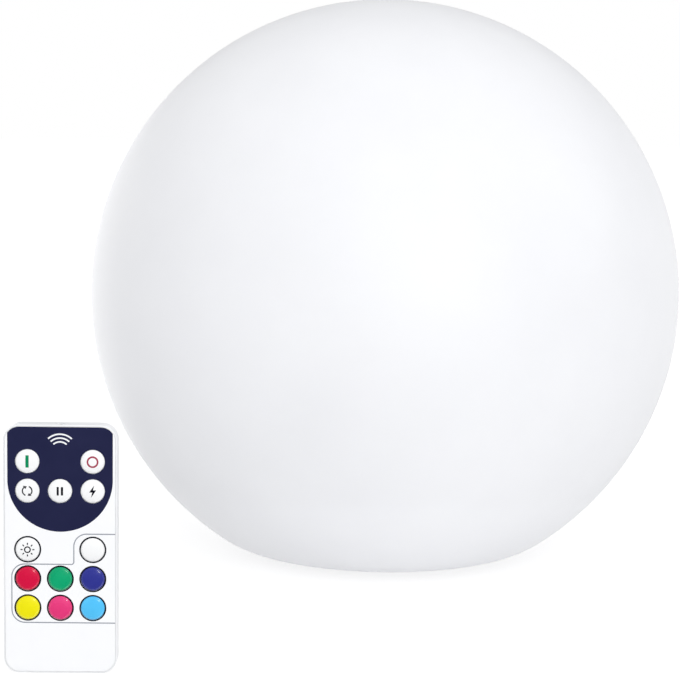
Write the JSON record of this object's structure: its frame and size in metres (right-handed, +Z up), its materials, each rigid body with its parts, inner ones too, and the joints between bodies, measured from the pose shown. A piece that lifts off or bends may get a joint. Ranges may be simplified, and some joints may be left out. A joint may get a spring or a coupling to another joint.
{
  "type": "globe light",
  "caption": "Rechargeable white globe light with a flattened base, and a slim hand remote that sets its colour.",
  "frame": {"origin": "on the floor, at the middle of the globe's foot ring", "axes": "+Z up along the globe's axis; the remote's keys face -Y, where the viewer stands, and +X is the viewer's right"},
  "size_m": [0.2595, 0.3287, 0.2359],
  "materials": {
    "globe": "matte translucent polyethylene",
    "base": "fine moulded texture",
    "silicone": "soft matte silicone",
    "foot": "matte rubber",
    "screw": "plain zinc",
    "button": "satin",
    "black_plastic": "satin",
    "socket": "gloss, with a nickel pin",
    "nickel": "nickel plate",
    "lens": "clear to milky",
    "cell_sleeve": null,
    "coin_can": null,
    "green_board": "solder mask",
    "white_board": "white solder mask",
    "connector": "natural nylon",
    "lead_red": "insulated wire",
    "lead_black": "insulated wire",
    "chip": "white package with a phosphor window",
    "opal": "opal diffuser",
    "case": "satin white",
    "film": "printed film",
    "key_white": "satin",
    "key_red": "satin",
    "key_green": "satin",
    "key_blue": "satin",
    "key_yellow": "satin",
    "key_pink": "satin",
    "key_sky": "satin"
  },
  "bodies": {
    "lamp": {"globe_shell": "globe", "base_housing": "base", "base_seal": "silicone", "base_screws": "screw", "foot_ring": "foot", "button_boot": "silicone", "power_switch": "black_plastic", "charge_socket": "socket", "socket_nut": "nickel", "cover_anchor": "silicone", "charge_lens": "lens", "charge_led": "lens", "battery_cradle": "black_plastic", "battery_cell": "cell_sleeve", "battery_clip": "nickel", "battery_tabs": "nickel", "control_board": "green_board", "board_screws": "screw", "control_components": "black_plastic", "wire_connectors": "connector", "battery_lead_red": "lead_red", "battery_lead_black": "lead_black", "socket_leads": "lead_black", "switch_leads": "lead_red", "charge_led_leads": "lead_black", "led_leads": "lead_red", "led_board": "white_board", "led_board_screws": "screw", "colour_leds": "chip", "white_leds": "chip", "ir_receiver": "black_plastic", "diffuser_dome": "opal"},
    "button": {"power_button": "button"},
    "cover": {"socket_cover": "silicone"},
    "remote": {"front_shell": "case", "rear_shell": "case", "face_film": "film", "snap_domes": "nickel", "remote_board": "green_board", "remote_chips": "black_plastic", "ir_emitter": "lens", "battery_contacts": "nickel"},
    "tray": {"battery_tray": "case", "coin_cell": "coin_can"},
    "key_on_body": {"key_on": "key_white"},
    "key_off_body": {"key_off": "key_white"},
    "key_cycle_body": {"key_cycle": "key_white"},
    "key_pause_body": {"key_pause": "key_white"},
    "key_flash_body": {"key_flash": "key_white"},
    "key_dim_body": {"key_dim": "key_white"},
    "key_white_body": {"key_white": "key_white"},
    "key_red_body": {"key_red": "key_red"},
    "key_green_body": {"key_green": "key_green"},
    "key_blue_body": {"key_blue": "key_blue"},
    "key_yellow_body": {"key_yellow": "key_yellow"},
    "key_pink_body": {"key_pink": "key_pink"},
    "key_sky_body": {"key_sky": "key_sky"}
  },
  "joints": [
    {"name": "button_press", "type": "slide", "parent": "lamp", "child": "button", "axis": [0, 0, 1], "range_m": [0, 0.0012], "stiffness_N_per_m": 1500},
    {"name": "cover_swing", "type": "hinge", "parent": "lamp", "child": "cover", "pos_m": [-0.02, -0.02, 0.0049], "axis": [0, 1, 0], "range_deg": [0, 95]},
    {"name": "remote_lift", "type": "slide", "parent": "lamp", "child": "remote", "axis": [0, 0, 1], "range_m": [0, 0.25]},
    {"name": "tray_slide", "type": "slide", "parent": "remote", "child": "tray", "axis": [0, 0, -1], "range_m": [0, 0.022]},
    {"name": "key_on_press", "type": "slide", "parent": "remote", "child": "key_on_body", "axis": [0, 1, 0], "range_m": [0, 0.0004], "stiffness_N_per_m": 2500},
    {"name": "key_off_press", "type": "slide", "parent": "remote", "child": "key_off_body", "axis": [0, 1, 0], "range_m": [0, 0.0004], "stiffness_N_per_m": 2500},
    {"name": "key_cycle_press", "type": "slide", "parent": "remote", "child": "key_cycle_body", "axis": [0, 1, 0], "range_m": [0, 0.0004], "stiffness_N_per_m": 2500},
    {"name": "key_pause_press", "type": "slide", "parent": "remote", "child": "key_pause_body", "axis": [0, 1, 0], "range_m": [0, 0.0004], "stiffness_N_per_m": 2500},
    {"name": "key_flash_press", "type": "slide", "parent": "remote", "child": "key_flash_body", "axis": [0, 1, 0], "range_m": [0, 0.0004], "stiffness_N_per_m": 2500},
    {"name": "key_dim_press", "type": "slide", "parent": "remote", "child": "key_dim_body", "axis": [0, 1, 0], "range_m": [0, 0.0004], "stiffness_N_per_m": 2500},
    {"name": "key_white_press", "type": "slide", "parent": "remote", "child": "key_white_body", "axis": [0, 1, 0], "range_m": [0, 0.0004], "stiffness_N_per_m": 2500},
    {"name": "key_red_press", "type": "slide", "parent": "remote", "child": "key_red_body", "axis": [0, 1, 0], "range_m": [0, 0.0004], "stiffness_N_per_m": 2500},
    {"name": "key_green_press", "type": "slide", "parent": "remote", "child": "key_green_body", "axis": [0, 1, 0], "range_m": [0, 0.0004], "stiffness_N_per_m": 2500},
    {"name": "key_blue_press", "type": "slide", "parent": "remote", "child": "key_blue_body", "axis": [0, 1, 0], "range_m": [0, 0.0004], "stiffness_N_per_m": 2500},
    {"name": "key_yellow_press", "type": "slide", "parent": "remote", "child": "key_yellow_body", "axis": [0, 1, 0], "range_m": [0, 0.0004], "stiffness_N_per_m": 2500},
    {"name": "key_pink_press", "type": "slide", "parent": "remote", "child": "key_pink_body", "axis": [0, 1, 0], "range_m": [0, 0.0004], "stiffness_N_per_m": 2500},
    {"name": "key_sky_press", "type": "slide", "parent": "remote", "child": "key_sky_body", "axis": [0, 1, 0], "range_m": [0, 0.0004], "stiffness_N_per_m": 2500}
  ]
}
